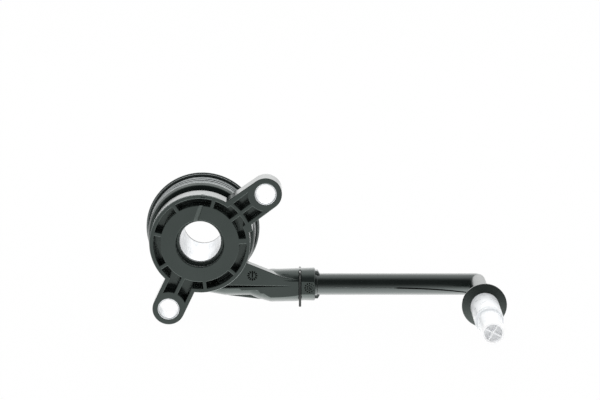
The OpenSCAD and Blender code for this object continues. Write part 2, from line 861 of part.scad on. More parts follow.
module preload_spring() {
    sides = 10;
    steps = ceil(spring_turns * 36);
    points = [
        for (i = [0 : steps])
            each wire_ring(360 * spring_turns * i / steps, spring_rise(i / steps), sides)
    ];
    walls = [
        for (i = [0 : steps - 1], k = [0 : sides - 1])
            let (a = i * sides + k, b = i * sides + (k + 1) % sides)
            [a, a + sides, b + sides, b]
    ];
    color(steel)
        polyhedron(points = points, faces = concat(
            [[for (k = [0 : sides - 1]) k]], walls,
            [[for (k = [sides - 1 : -1 : 0]) steps * sides + k]]
        ));
}

module piston() {
    inner = sleeve_r + run_gap;
    outer = cyl_bore_r - run_gap;
    groove_y = collar_y + collar_t;
    color(plastic)
        turned([
            [inner, piston_y], [outer - 0.4, piston_y], [outer, piston_y + 0.4],
            [outer, collar_y], [spigot_r, collar_y], [spigot_r, groove_y],
            [spigot_r - snap_groove, groove_y], [spigot_r - snap_groove, groove_y + snap_w],
            [spigot_r, groove_y + snap_w], [spigot_r, groove_y + spigot_len - 0.5],
            [spigot_r - 0.5, groove_y + spigot_len], [inner + 0.5, groove_y + spigot_len],
            [inner, groove_y + spigot_len - 0.5]
        ]);
}

// A lip seal: two lips that open towards the pressure, on a solid heel
module piston_seal() {
    inner = sleeve_r + run_gap;
    outer = cyl_bore_r - run_gap;
    front = piston_y - seal_len;
    middle = (inner + outer) / 2;
    color(rubber)
        turned([
            [inner, front], [inner + 1.3, front], [middle, front + 0.55 * seal_len],
            [outer - 1.3, front], [outer, front], [outer, front + 1],
            [outer - 0.5, piston_y], [inner + 0.5, piston_y], [inner, front + 1]
        ]);
}

module wiper_ring() {
    color(rubber)
        turned([
            [cyl_bore_r, cyl_end - wiper_len], [cyl_bore_r + wiper_w, cyl_end - wiper_len],
            [cyl_bore_r + wiper_w, cyl_end], [cyl_bore_r + 0.9, cyl_end],
            [cyl_bore_r + 0.3, cyl_end + 0.5], [cyl_bore_r, cyl_end + 0.5]
        ]);
}

module spring_collar() {
    color(plastic)
        turned([
            [spigot_r, collar_y], [collar_front_r - 0.4, collar_y],
            [collar_front_r, collar_y + 0.4], [collar_front_r, collar_y + front_edge_t],
            [collar_groove_r, collar_y + front_edge_t], [collar_groove_r, collar_y + groove_end],
            [collar_r, collar_y + groove_end], [collar_r, bearing_y - 0.4],
            [collar_r - 0.4, bearing_y], [cup_r + 0.4, bearing_y],
            [cup_r, bearing_y + 0.4], [cup_r, bearing_y + cup_depth],
            [bearing_r + 0.3, bearing_y + cup_depth], [bearing_r, bearing_y + cup_depth - 0.3],
            [bearing_r, bearing_y], [spigot_r, bearing_y]
        ]);
}

// An open ring that snaps into the groove on the piston's spigot
module snap_ring() {
    color(steel)
        difference() {
            ring(spigot_r - snap_groove, snap_r, bearing_y, bearing_y + snap_w);
            slab(bearing_y - 1, bearing_y + snap_w + 1)
                rotate(90)
                    translate([spigot_r - 2, -2])
                        square([4, 4]);
        }
}

// The ball track that is cut into both rings
module ball_track() {
    rotate([-90, 0, 0])
        rotate_extrude()
            translate([pitch_r, ball_y])
                circle(ball_r + ball_gap, $fn = 48);
}

module bearing_outer_ring() {
    color(bright_steel)
        difference() {
            turned([
                [outer_land_r, bearing_y], [bearing_r - 0.5, bearing_y],
                [bearing_r, bearing_y + 0.5], [bearing_r, bearing_end - 0.8],
                [bearing_r - 0.8, bearing_end], [outer_land_r, bearing_end]
            ]);
            ball_track();
        }
}

// The turning ring, with the rounded face that the clutch fingers press on
module bearing_inner_ring() {
    face_r = outer_land_r - 1.6;
    top = bearing_end + contact_h;
    color(bright_steel)
        difference() {
            turned([
                [inner_bore_r, inner_start], [inner_land_r, inner_start],
                [inner_land_r, bearing_end + turn_gap], [face_r, bearing_end + turn_gap + 0.6],
                [face_r, top - 1.6], [face_r - 0.6, top - 0.6], [face_r - 2, top],
                [inner_bore_r + 1.4, top], [inner_bore_r + 0.4, top - 0.5],
                [inner_bore_r, top - 1.4]
            ]);
            ball_track();
        }
}

// The crown cage: a ring with round pockets that open towards the housing
module ball_cage() {
    rear = bearing_end - shield_inset - shield_t - turn_gap;
    front = ball_y - 0.65 * ball_r;
    color([0.75, 0.7, 0.55])
        difference() {
            ring(pitch_r - cage_half, pitch_r + cage_half, front, rear);
            for (i = [0 : ball_count - 1])
                rotate([0, 360 * i / ball_count, 0])
                    translate([pitch_r - cage_half - 1, ball_y, 0])
                        rotate([0, 90, 0])
                            cylinder(r = ball_r + ball_gap, h = 2 * cage_half + 2);
        }
}

module bearing_balls() {
    color(bright_steel)
        for (i = [0 : ball_count - 1])
            rotate([0, 360 * i / ball_count, 0])
                translate([pitch_r, ball_y, 0])
                    sphere(ball_r, $fn = 48);
}

// A thin washer pressed into the outer ring, clear of the inner ring
module shield(y0) {
    color(steel)
        ring(inner_land_r + turn_gap, outer_land_r, y0, y0 + shield_t);
}

module front_shield() {
    shield(bearing_y + shield_inset);
}

module rear_shield() {
    shield(bearing_end - shield_inset - shield_t);
}

housing();
guide_sleeve();
sleeve_seal_ring();
upper_bush();
lower_bush();
feed_pipe();
pipe_seal_ring();
retaining_clip();
bell_housing_seal();
connector_seal_ring();
transit_cap();
preload_spring();
piston();
piston_seal();
wiper_ring();
spring_collar();
snap_ring();
bearing_outer_ring();
bearing_inner_ring();
ball_cage();
bearing_balls();
front_shield();
rear_shield();
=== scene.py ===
"""Looks of a clutch slave cylinder: finishes, the wound spring, mould marks, light and camera.

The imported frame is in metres: +X along the feed pipe, +Y from the gearbox to the clutch,
+Z up, with the origin on the shaft axis in the plane of the mounting face.
"""
import math

import bpy
import numpy as np
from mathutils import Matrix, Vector


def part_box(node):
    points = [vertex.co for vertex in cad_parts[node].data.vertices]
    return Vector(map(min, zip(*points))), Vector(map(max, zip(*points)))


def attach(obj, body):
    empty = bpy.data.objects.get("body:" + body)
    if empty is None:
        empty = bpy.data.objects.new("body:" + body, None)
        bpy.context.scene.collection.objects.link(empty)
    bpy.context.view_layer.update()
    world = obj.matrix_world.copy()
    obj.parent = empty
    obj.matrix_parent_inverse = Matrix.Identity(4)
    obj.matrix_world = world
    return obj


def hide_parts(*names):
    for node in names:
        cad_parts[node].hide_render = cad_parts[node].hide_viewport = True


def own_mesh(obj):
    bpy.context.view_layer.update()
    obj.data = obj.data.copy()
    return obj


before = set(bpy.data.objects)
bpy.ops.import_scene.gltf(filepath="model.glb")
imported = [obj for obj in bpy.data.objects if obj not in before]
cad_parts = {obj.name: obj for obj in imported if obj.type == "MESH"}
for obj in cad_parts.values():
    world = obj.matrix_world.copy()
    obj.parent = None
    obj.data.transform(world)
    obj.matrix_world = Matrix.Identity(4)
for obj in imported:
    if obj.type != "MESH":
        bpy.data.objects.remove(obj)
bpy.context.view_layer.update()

# Places and sizes taken from the frame
MM = 0.001
SPRING_LOW, SPRING_HIGH = (np.array(corner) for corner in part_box("preload_spring"))
PIPE_LOW, PIPE_HIGH = (np.array(corner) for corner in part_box("feed_pipe"))
LUG_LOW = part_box("housing")[0]
CAP_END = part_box("transit_cap")[0][1]
FLOOR_Z = LUG_LOW[2]

# Sizes that repeat the part's own
WIRE = 1.8 * MM
SPRING_TURNS = 4.4
FEED_Y = 12 * MM
FEED_Z = -30.9 * MM
PIPE_R = 7.2 * MM
FLAT_Y = 2.7 * MM
RIM_R = 33.3 * MM
DRAIN_DEPTH = 1.2 * MM
SOCKET_FLAT_Y = 1.9 * MM

# Camera: fitted to the round outlines of the bore, the rim and the bolt holes
CAMERA_AT = (66.1 * MM, -1223.7 * MM, 325.9 * MM)
CAMERA_DOWN = math.radians(13.6)
LENS = 115.2
SENSOR = 36


def node(tree, kind, inputs=None, **settings):
    """Adds one shader node, sets its properties, and sets or links its inputs by name or number."""
    made = tree.nodes.new(kind)
    for name, value in settings.items():
        setattr(made, name, value)
    for name, value in (inputs or {}).items():
        if isinstance(value, bpy.types.NodeSocket):
            tree.links.new(value, made.inputs[name])
        else:
            made.inputs[name].default_value = value
    return made


def start_material(name):
    """An empty material with its tree, its shader and the place on the piece."""
    material = bpy.data.materials.new(name)
    material.use_nodes = True
    tree = material.node_tree
    tree.nodes.clear()
    shader = node(tree, "ShaderNodeBsdfPrincipled")
    node(tree, "ShaderNodeOutputMaterial", {"Surface": shader.outputs[0]})
    place = node(tree, "ShaderNodeTexCoord").outputs["Object"]
    return material, tree, shader, place


def stretched(tree, place, stretch):
    """The place on the piece, scaled by its own amount along each axis."""
    return node(tree, "ShaderNodeMapping", {"Vector": place, "Scale": stretch}).outputs[0]


def noise(tree, place, scale, detail=3.0, roughness=0.55):
    """Cloudy noise from 0 to 1 at so many features a metre."""
    values = {"Vector": place, "Scale": scale, "Detail": detail, "Roughness": roughness}
    return node(tree, "ShaderNodeTexNoise", values).outputs[0]


def blend_range(tree, value, low, high, start=0.3, end=0.7):
    """The value's stretch from start to end, mapped to low and high."""
    values = {"Value": value, "From Min": start, "From Max": end, "To Min": low, "To Max": high}
    return node(tree, "ShaderNodeMapRange", values).outputs[0]


def two_tones(tree, factor, dark, light):
    """A colour between two, by a factor from 0 to 1."""
    mixed = node(tree, "ShaderNodeMix", data_type="RGBA")
    tree.links.new(factor, mixed.inputs[0])
    mixed.inputs[6].default_value = (*dark, 1)
    mixed.inputs[7].default_value = (*light, 1)
    return mixed.outputs[2]


def relief(tree, shader, height, depth, edge=0.0, strength=1.0):
    """Bumps of so much depth on the shader, over edges that are rounded by a small radius."""
    values = {"Height": height, "Distance": depth, "Strength": strength}
    if edge:
        values["Normal"] = node(tree, "ShaderNodeBevel", {"Radius": edge}, samples=8).outputs[0]
    bump = node(tree, "ShaderNodeBump", values)
    tree.links.new(bump.outputs[0], shader.inputs["Normal"])


def set_shader(shader, **values):
    """Sets the shader's own sockets, named with underscores for spaces."""
    for name, value in values.items():
        shader.inputs[name.replace("_", " ")].default_value = value


def glass_filled_moulding():
    """Dark moulding with short glass fibres: cloudy tone, fine grain and softly rounded edges.

    The floor of the drain groove is painted a little paler: a painted highlight that stands in for
    the light it catches.
    """
    material, tree, shader, place = start_material("glass_filled_moulding")
    clouds = noise(tree, place, 70, 4)
    fibres = noise(tree, stretched(tree, place, (1, 1, 0.35)), 1500, 3, 0.65)
    tone = blend_range(tree, clouds, 0, 1)
    skin = two_tones(tree, tone, (0.009, 0.0125, 0.0115), (0.014, 0.018, 0.017))
    # Painted highlight: the floor of the drain groove gets a paler colour than the rest of the
    # moulding.
    depth = node(tree, "ShaderNodeSeparateXYZ", {0: place}).outputs["Y"]
    on_floor = node(tree, "ShaderNodeMath", {0: depth, 1: DRAIN_DEPTH, 2: 0.03 * MM},
                    operation="COMPARE")
    groove_painted_highlight = node(tree, "ShaderNodeMix", data_type="RGBA")
    tree.links.new(on_floor.outputs[0], groove_painted_highlight.inputs[0])
    tree.links.new(skin, groove_painted_highlight.inputs[6])
    groove_painted_highlight.inputs[7].default_value = (0.075, 0.088, 0.083, 1)
    tree.links.new(groove_painted_highlight.outputs[2], shader.inputs["Base Color"])
    tree.links.new(blend_range(tree, fibres, 0.14, 0.21), shader.inputs["Roughness"])
    set_shader(shader, IOR=1.5, Specular_Tint=(0.86, 1.0, 0.94, 1))
    relief(tree, shader, fibres, 0.005 * MM, edge=0.6 * MM, strength=0.25)
    return material


def polished_edge():
    """Rounded edge where the mould's halves meet, smoother and glossier than the faces."""
    material, tree, shader, place = start_material("polished_edge")
    rub = noise(tree, place, 800, 3)
    tone = blend_range(tree, rub, 0, 1)
    tree.links.new(two_tones(tree, tone, (0.009, 0.0125, 0.0115), (0.014, 0.018, 0.017)),
                   shader.inputs["Base Color"])
    tree.links.new(blend_range(tree, rub, 0.16, 0.24), shader.inputs["Roughness"])
    set_shader(shader, IOR=2.0, Specular_Tint=(0.9, 1.0, 0.97, 1))
    relief(tree, shader, rub, 0.004 * MM, strength=0.2)
    return material


def smooth_pipe_moulding():
    """Black pipe with a glossy moulded skin and faint drag marks along it."""
    material, tree, shader, place = start_material("smooth_pipe_moulding")
    drag = noise(tree, stretched(tree, place, (0.06, 1, 1)), 900, 3)
    clouds = noise(tree, place, 45, 3)
    tone = blend_range(tree, clouds, 0, 1)
    tree.links.new(two_tones(tree, tone, (0.003, 0.005, 0.0045), (0.006, 0.009, 0.008)),
                   shader.inputs["Base Color"])
    tree.links.new(blend_range(tree, drag, 0.21, 0.27), shader.inputs["Roughness"])
    set_shader(shader, IOR=1.55, Specular_Tint=(0.9, 1.0, 0.97, 1))
    relief(tree, shader, drag, 0.005 * MM, edge=0.3 * MM, strength=0.3)
    return material


def collar_moulding():
    """Satin moulding of the spring collar, with fine turned rings from its mould."""
    material, tree, shader, place = start_material("collar_moulding")
    grain = noise(tree, stretched(tree, place, (1, 4, 1)), 900, 3)
    clouds = noise(tree, place, 80, 3)
    tone = blend_range(tree, clouds, 0, 1)
    tree.links.new(two_tones(tree, tone, (0.004, 0.006, 0.0055), (0.008, 0.011, 0.010)),
                   shader.inputs["Base Color"])
    tree.links.new(blend_range(tree, grain, 0.15, 0.22), shader.inputs["Roughness"])
    set_shader(shader, Specular_Tint=(0.9, 1.0, 0.97, 1))
    relief(tree, shader, grain, 0.004 * MM, edge=0.7 * MM, strength=0.25)
    return material


def piston_moulding():
    """Dark smooth moulding that runs in oil."""
    material, tree, shader, place = start_material("piston_moulding")
    grain = noise(tree, place, 700, 3)
    tone = blend_range(tree, grain, 0, 1)
    tree.links.new(two_tones(tree, tone, (0.07, 0.07, 0.07), (0.11, 0.11, 0.11)),
                   shader.inputs["Base Color"])
    tree.links.new(blend_range(tree, grain, 0.28, 0.38), shader.inputs["Roughness"])
    relief(tree, shader, grain, 0.01 * MM, edge=0.2 * MM, strength=0.3)
    return material


def natural_cage_moulding():
    """Cream natural polyamide of the ball cage, a little see-through at its edges."""
    material, tree, shader, place = start_material("natural_cage_moulding")
    clouds = noise(tree, place, 160, 3)
    tone = blend_range(tree, clouds, 0, 1)
    tree.links.new(two_tones(tree, tone, (0.62, 0.55, 0.40), (0.74, 0.68, 0.52)),
                   shader.inputs["Base Color"])
    tree.links.new(blend_range(tree, clouds, 0.38, 0.5), shader.inputs["Roughness"])
    set_shader(shader, Subsurface_Weight=0.2, Subsurface_Scale=0.8 * MM)
    relief(tree, shader, clouds, 0.02 * MM, edge=0.2 * MM, strength=0.3)
    return material


def milky_moulding():
    """Milky soft plastic of the transit cap: light passes a little way in, the skin is glossy.

    Towards its closed end the colour is painted paler: painted light that lifts the shade inside
    the end recess.
    """
    material, tree, shader, place = start_material("milky_moulding")
    clouds = noise(tree, place, 60, 2)
    waves = noise(tree, place, 250, 2)
    tone = blend_range(tree, clouds, 0, 1)
    wall = two_tones(tree, tone, (0.84, 0.875, 0.905), (0.855, 0.89, 0.915))
    # Painted light: towards the closed end the colour turns paler, lifting the shade in the end
    # recess.
    station = node(tree, "ShaderNodeSeparateXYZ", {0: place}).outputs["Y"]
    end_light_share = blend_range(tree, station, 1, 0, CAP_END + 4.5 * MM, CAP_END + 7 * MM)
    end_painted_light = node(tree, "ShaderNodeMix", data_type="RGBA")
    tree.links.new(end_light_share, end_painted_light.inputs[0])
    tree.links.new(wall, end_painted_light.inputs[6])
    end_painted_light.inputs[7].default_value = (0.955, 0.97, 0.985, 1)
    tree.links.new(end_painted_light.outputs[2], shader.inputs["Base Color"])
    tree.links.new(blend_range(tree, waves, 0.26, 0.34), shader.inputs["Roughness"])
    set_shader(shader, Subsurface_Weight=0.8, Subsurface_Scale=3.0 * MM,
               Subsurface_Radius=(1.0, 1.0, 1.0))
    relief(tree, shader, waves, 0.001 * MM, strength=0.1)
    return material


def seal_rubber():
    """Matt black rubber of the seal rings, with a fine dusty bloom."""
    material, tree, shader, place = start_material("ring_rubber")
    bloom = noise(tree, place, 900, 4)
    tone = blend_range(tree, bloom, 0, 1)
    tree.links.new(two_tones(tree, tone, (0.018, 0.018, 0.018), (0.032, 0.032, 0.032)),
                   shader.inputs["Base Color"])
    tree.links.new(blend_range(tree, bloom, 0.5, 0.62), shader.inputs["Roughness"])
    relief(tree, shader, bloom, 0.02 * MM, edge=0.15 * MM, strength=0.4)
    return material


def disc_rubber():
    """Satin rubber of the bell housing seal, dark with a soft sheen."""
    material, tree, shader, place = start_material("disc_rubber")
    bloom = noise(tree, place, 600, 4)
    clouds = noise(tree, place, 110, 2)
    tone = blend_range(tree, clouds, 0, 1)
    tree.links.new(two_tones(tree, tone, (0.005, 0.007, 0.0065), (0.010, 0.013, 0.012)),
                   shader.inputs["Base Color"])
    tree.links.new(blend_range(tree, bloom, 0.22, 0.3), shader.inputs["Roughness"])
    set_shader(shader, Specular_Tint=(0.88, 1.0, 0.95, 1))
    relief(tree, shader, bloom, 0.004 * MM, edge=0.6 * MM, strength=0.25)
    return material


def drawn_steel(name, dark, light, shade_from_y):
    """Bright drawn tube, with faint streaks along the bore and a dark end past one station: painted
    shade for the tube's shadowed end.
    """
    material, tree, shader, place = start_material(name)
    streaks = noise(tree, stretched(tree, place, (1, 0.05, 1)), 1300, 4)
    stains = noise(tree, stretched(tree, place, (1, 0.3, 1)), 140, 3)
    tone = blend_range(tree, stains, 0, 1, 0.35, 0.6)
    # Painted shade: past the given station the colour turns dark grey, for the shadowed end of the
    # tube.
    height = node(tree, "ShaderNodeSeparateXYZ", {0: place}).outputs["Y"]
    end = blend_range(tree, height, 0, 1, shade_from_y, shade_from_y + 0.1 * MM)
    bright = two_tones(tree, tone, dark, light)
    end_painted_shade = node(tree, "ShaderNodeMix", data_type="RGBA")
    tree.links.new(end, end_painted_shade.inputs[0])
    tree.links.new(bright, end_painted_shade.inputs[6])
    end_painted_shade.inputs[7].default_value = (0.04, 0.043, 0.045, 1)
    tree.links.new(end_painted_shade.outputs[2], shader.inputs["Base Color"])
    tree.links.new(blend_range(tree, streaks, 0.18, 0.34), shader.inputs["Roughness"])
    set_shader(shader, Metallic=1.0)
    relief(tree, shader, streaks, 0.01 * MM, edge=0.2 * MM, strength=0.35)
    return material


def spring_steel():
    """Drawn spring wire and strip, oil-darkened, with fine lines along the draw."""
    material, tree, shader, place = start_material("spring_steel")
    grain = noise(tree, place, 1100, 4)
    clouds = noise(tree, place, 90, 3)
    tone = blend_range(tree, clouds, 0, 1)
    tree.links.new(two_tones(tree, tone, (0.19, 0.205, 0.205), (0.27, 0.285, 0.285)),
                   shader.inputs["Base Color"])
    tree.links.new(blend_range(tree, grain, 0.16, 0.24), shader.inputs["Roughness"])
    set_shader(shader, Metallic=1.0)
    relief(tree, shader, grain, 0.004 * MM, strength=0.25)
    return material


def blackened_wire():
    """Clip wire with a thin oiled black finish, worn a little lighter in places."""
    material, tree, shader, place = start_material("blackened_wire")
    wear = noise(tree, stretched(tree, place, (1, 1, 0.3)), 700, 3)
    tone = blend_range(tree, wear, 0, 1, 0.4, 0.8)
    tree.links.new(two_tones(tree, tone, (0.016, 0.020, 0.018), (0.05, 0.056, 0.053)),
                   shader.inputs["Base Color"])
    tree.links.new(blend_range(tree, wear, 0.3, 0.42), shader.inputs["Roughness"])
    relief(tree, shader, wear, 0.01 * MM, strength=0.3)
    return material


def dial_shade_finish():
    """Rough skin of the mould's dial marks, which takes no sheen, painted darker than the moulding:
    painted shade of their relief.
    """
    material, tree, shader, place = start_material("dial_painted_shade")
    grain = noise(tree, place, 2500, 3)
    tone = blend_range(tree, grain, 0, 1)
    # Painted shade: the dial marks are coloured darker than the moulding, for the shade of their
    # relief.
    tree.links.new(two_tones(tree, tone, (0.002, 0.002, 0.002), (0.006, 0.007, 0.006)),
                   shader.inputs["Base Color"])
    tree.links.new(blend_range(tree, grain, 0.6, 0.8), shader.inputs["Roughness"])
    set_shader(shader, Specular_IOR_Level=0.0)
    relief(tree, shader, grain, 0.01 * MM, strength=0.3)
    return material


def ground_bearing_steel():
    """Ground and oiled bearing steel with fine rings round the shaft axis."""
    material, tree, shader, place = start_material("ground_bearing_steel")
    grind = noise(tree, stretched(tree, place, (0.3, 6, 0.3)), 800, 3)
    clouds = noise(tree, place, 60, 3)
    tone = blend_range(tree, clouds, 0, 1)
    tree.links.new(two_tones(tree, tone, (0.52, 0.53, 0.54), (0.68, 0.69, 0.70)),
                   shader.inputs["Base Color"])
    tree.links.new(blend_range(tree, grind, 0.16, 0.28), shader.inputs["Roughness"])
    set_shader(shader, Metallic=1.0)
    relief(tree, shader, grind, 0.008 * MM, edge=0.25 * MM, strength=0.3)
    return material


def add_piece(name, points, faces, body, material, smooth=True):
    """Puts finished points and faces into a mesh that moves with a body."""
    mesh = bpy.data.meshes.new(name)
    mesh.from_pydata(points.tolist(), [], faces)
    mesh.update()
    mesh.polygons.foreach_set("use_smooth", [smooth] * len(mesh.polygons))
    mesh.materials.append(material)
    piece = bpy.data.objects.new(name, mesh)
    bpy.context.scene.collection.objects.link(piece)
    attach(piece, body)
    return piece


def grid_faces(rows, columns, closed_rows=False):
    """Faces of a grid whose columns close round a section, and whose rows may close to a ring."""
    row = np.arange(rows if closed_rows else rows - 1)[:, None]
    column = np.arange(columns)[None, :]
    after = (row + 1) % rows
    beside = (column + 1) % columns
    corners = [row * columns + column, row * columns + beside,
               after * columns + beside, after * columns + column]
    return np.stack(np.broadcast_arrays(*corners), axis=-1).reshape(-1, 4).tolist()


def wound_spring(material):
    """The preload spring: a round section carried along a helix about the shaft axis.

    At a share s of the turns the wire's centre is at the angle 2 pi n s and the mean radius.
    Its height rises by 0.82 wire over each closed end, and evenly in between.
    """
    sides = 16
    share = np.linspace(0, 1, 401)
    radius = SPRING_HIGH[0] - WIRE / 2
    low = SPRING_LOW[1] + WIRE / 2
    high = SPRING_HIGH[1] - WIRE / 2
    closed = 0.8 / SPRING_TURNS
    rise = 0.82 * WIRE
    height = np.interp(share, [0, closed, 1 - closed, 1], [low, low + rise, high - rise, high])
    turn = 2 * math.pi * SPRING_TURNS * share
    outward = np.stack([np.cos(turn), 0 * turn, np.sin(turn)], axis=-1)
    centre = outward * radius + np.stack([0 * turn, height, 0 * turn], axis=-1)
    # The ends round off over the last few rings
    ring = np.minimum(share, 1 - share) * 400 / 2
    taper = np.sqrt(np.clip(1 - (1 - np.clip(ring, 0, 1)) ** 2, 0.02, 1))
    section = np.linspace(0, 2 * math.pi, sides, endpoint=False)
    across = (WIRE / 2 * taper)[:, None, None] * np.cos(section)[None, :, None]
    along = (WIRE / 2 * taper)[:, None, None] * np.sin(section)[None, :, None]
    points = centre[:, None] + outward[:, None] * across + np.array([0, 1, 0]) * along
    faces = grid_faces(len(share), sides)
    last = (len(share) - 1) * sides
    faces.append(list(range(sides))[::-1])
    faces.append(list(range(last, last + sides)))
    piece = add_piece("wound_spring", points.reshape(-1, 3), faces, "cylinder", material)
    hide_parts("preload_spring")
    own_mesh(piece)
    return piece


def ridge(path, normal, width, height, closed=False):
    """Points and faces of a low round ridge along a path on a surface.

    At each path point the section is half an ellipse: width cos t across the path and
    height sin t along the surface's normal. Open ends narrow to nothing.
    """
    path = np.asarray(path, float)
    normal = np.broadcast_to(np.asarray(normal, float), path.shape)
    if closed:
        ahead = np.roll(path, -1, axis=0) - np.roll(path, 1, axis=0)
        size = np.ones(len(path))
    else:
        ahead = np.gradient(path, axis=0)
        size = np.clip(np.sin(np.linspace(0, math.pi, len(path))) * 6, 0.35, 1)
    side = np.cross(ahead, normal)
    side /= np.linalg.norm(side, axis=1)[:, None]
    turn = np.linspace(0, -2 * math.pi, 8, endpoint=False)
    reach = size[:, None, None]
    points = (path[:, None]
              + side[:, None] * (reach * width / 2 * np.cos(turn)[None, :, None])
              + normal[:, None] * (reach * height * np.sin(turn)[None, :, None]))
    faces = grid_faces(len(path), 8, closed)
    if not closed:
        last = (len(path) - 1) * 8
        faces.append(list(range(8))[::-1])
        faces.append(list(range(last, last + 8)))
    return points.reshape(-1, 3), faces


def join_ridges(parts):
    """One set of points and faces from several."""
    points = []
    faces = []
    start = 0
    for part_points, part_faces in parts:
        points.append(part_points)
        faces += [[corner + start for corner in face] for face in part_faces]
        start += len(part_points)
    return np.concatenate(points), faces


def dial_mark(name, centre, rows, bar, pointing, material):
    """A mould's dial on a flat that faces -Y: rows of ticks round a centre, and a bar.

    A row is its count of ticks, its inner and outer radius and the width of a tick. Each tick
    runs radially. The bar lies on the centre, along one direction, and narrows at its ends.
    """
    centre = np.array(centre, float)
    facing = np.array([0, -1, 0])

    def on_flat(reach, angle):
        """A point so far from the centre, in one direction, on the flat."""
        return centre + reach * np.array([math.cos(angle), 0, math.sin(angle)])

    parts = []
    for count, inner, outer, width in rows:
        for angle in np.linspace(0, 2 * math.pi, count, endpoint=False):
            line = np.linspace(on_flat(inner, angle), on_flat(outer, angle), 6)
            parts.append(ridge(line, facing, width, 0.14 * MM))
    tail, tip = bar
    line = np.linspace(on_flat(tail, pointing + math.pi), on_flat(tip, pointing), 8)
    parts.append(ridge(line, facing, 0.85 * MM, 0.16 * MM))
    points, faces = join_ridges(parts)
    return add_piece(name, points, faces, "cylinder", material)


def edge_bead(name, radius, station, turns, width, body, material):
    """The rounded front edge of a round part, between two directions in degrees.

    A thin half-round bead on the part's corner: its path is a circle about the shaft axis, and
    it stands out half forwards and half outwards, by half its width.
    """
    closed = turns[1] - turns[0] == 360
    turn = np.radians(np.linspace(*turns, 240, endpoint=not closed))
    away = np.stack([np.cos(turn), 0 * turn, np.sin(turn)], axis=-1)
    outward = (away + np.array([0, -1, 0])) / math.sqrt(2)
    path = away * (radius - width / 3) + np.array([0, station + 0.1 * MM, 0])
    points, faces = ridge(path, outward, width, width / 2, closed)
    return add_piece(name, points, faces, body, material)


def pipe_seam(name, start, end, width, material):
    """The mould's parting line on the pipe, between two stations along X.

    It runs along the front just below the middle and sinks under the pipe at the elbow: its
    angle below the front, in degrees, is 1 + 9 s + 34 s^5, with s the share of the way from
    the socket to the elbow.
    """
    along = np.linspace(start, end, 60)
    share = (along - 88 * MM) / (94.5 * MM)
    below = np.radians(1 + 9 * share + 34 * share ** 5)
    outward = np.stack([0 * share, -np.cos(below), -np.sin(below)], axis=-1)
    path = np.stack([along, 0 * share + FEED_Y, 0 * share + FEED_Z], axis=-1) + PIPE_R * outward
    points, faces = ridge(path, outward, width, 0.12 * MM)
    return add_piece(name, points, faces, "cylinder", material)


def stage_plane(name, corners, material):
    """A flat sheet of the studio, by its four corners."""
    mesh = bpy.data.meshes.new(name)
    mesh.from_pydata(corners, [], [(0, 1, 2, 3)])
    mesh.materials.append(material)
    sheet = bpy.data.objects.new(name, mesh)
    bpy.context.scene.collection.objects.link(sheet)
    return sheet


def pale_floor_material():
    """White floor that takes the part's shadow; the light of the table below passes through."""
    material = bpy.data.materials.new("pale_floor")
    material.use_nodes = True
    tree = material.node_tree
    tree.nodes.clear()
    rays = node(tree, "ShaderNodeLightPath").outputs
    paper = node(tree, "ShaderNodeBsdfDiffuse", {"Color": (0.9, 0.9, 0.9, 1)})
    glow = node(tree, "ShaderNodeEmission", {"Color": (1, 1, 1, 1), "Strength": 1.0})
    seen = node(tree, "ShaderNodeMixShader", {0: 0.985, 1: paper.outputs[0], 2: glow.outputs[0]})
    clear = node(tree, "ShaderNodeBsdfTransparent")
    shown = node(tree, "ShaderNodeMixShader",
                 {0: rays["Is Camera Ray"], 1: clear.outputs[0], 2: seen.outputs[0]})
    node(tree, "ShaderNodeOutputMaterial", {"Surface": shown.outputs[0]})
    return material


# Light of the room by its height angle, in degrees from the front horizon over the top
ROOM_LIGHT = [
    (-180, 1.5), (-150, 1.5), (-130, 2.4), (-107, 4.2), (-85, 4.4), (-47, 4.4), (-35, 3.0),
    (-24, 2.0), (-13, 1.25), (-2, 0.6), (8, 0.25), (20, 0.1), (60, 0.1), (74, 0.7),
    (87, 1.7), (100, 2.2), (135, 2.2), (150, 2.6), (166, 2.4), (180, 1.5)
]
ROOM_BRIGHTEST = 4.4
SIDE_LIGHT = 0.6
# Level at which matt surfaces are lit, the same from everywhere
PLAIN_LEVEL = 0.95


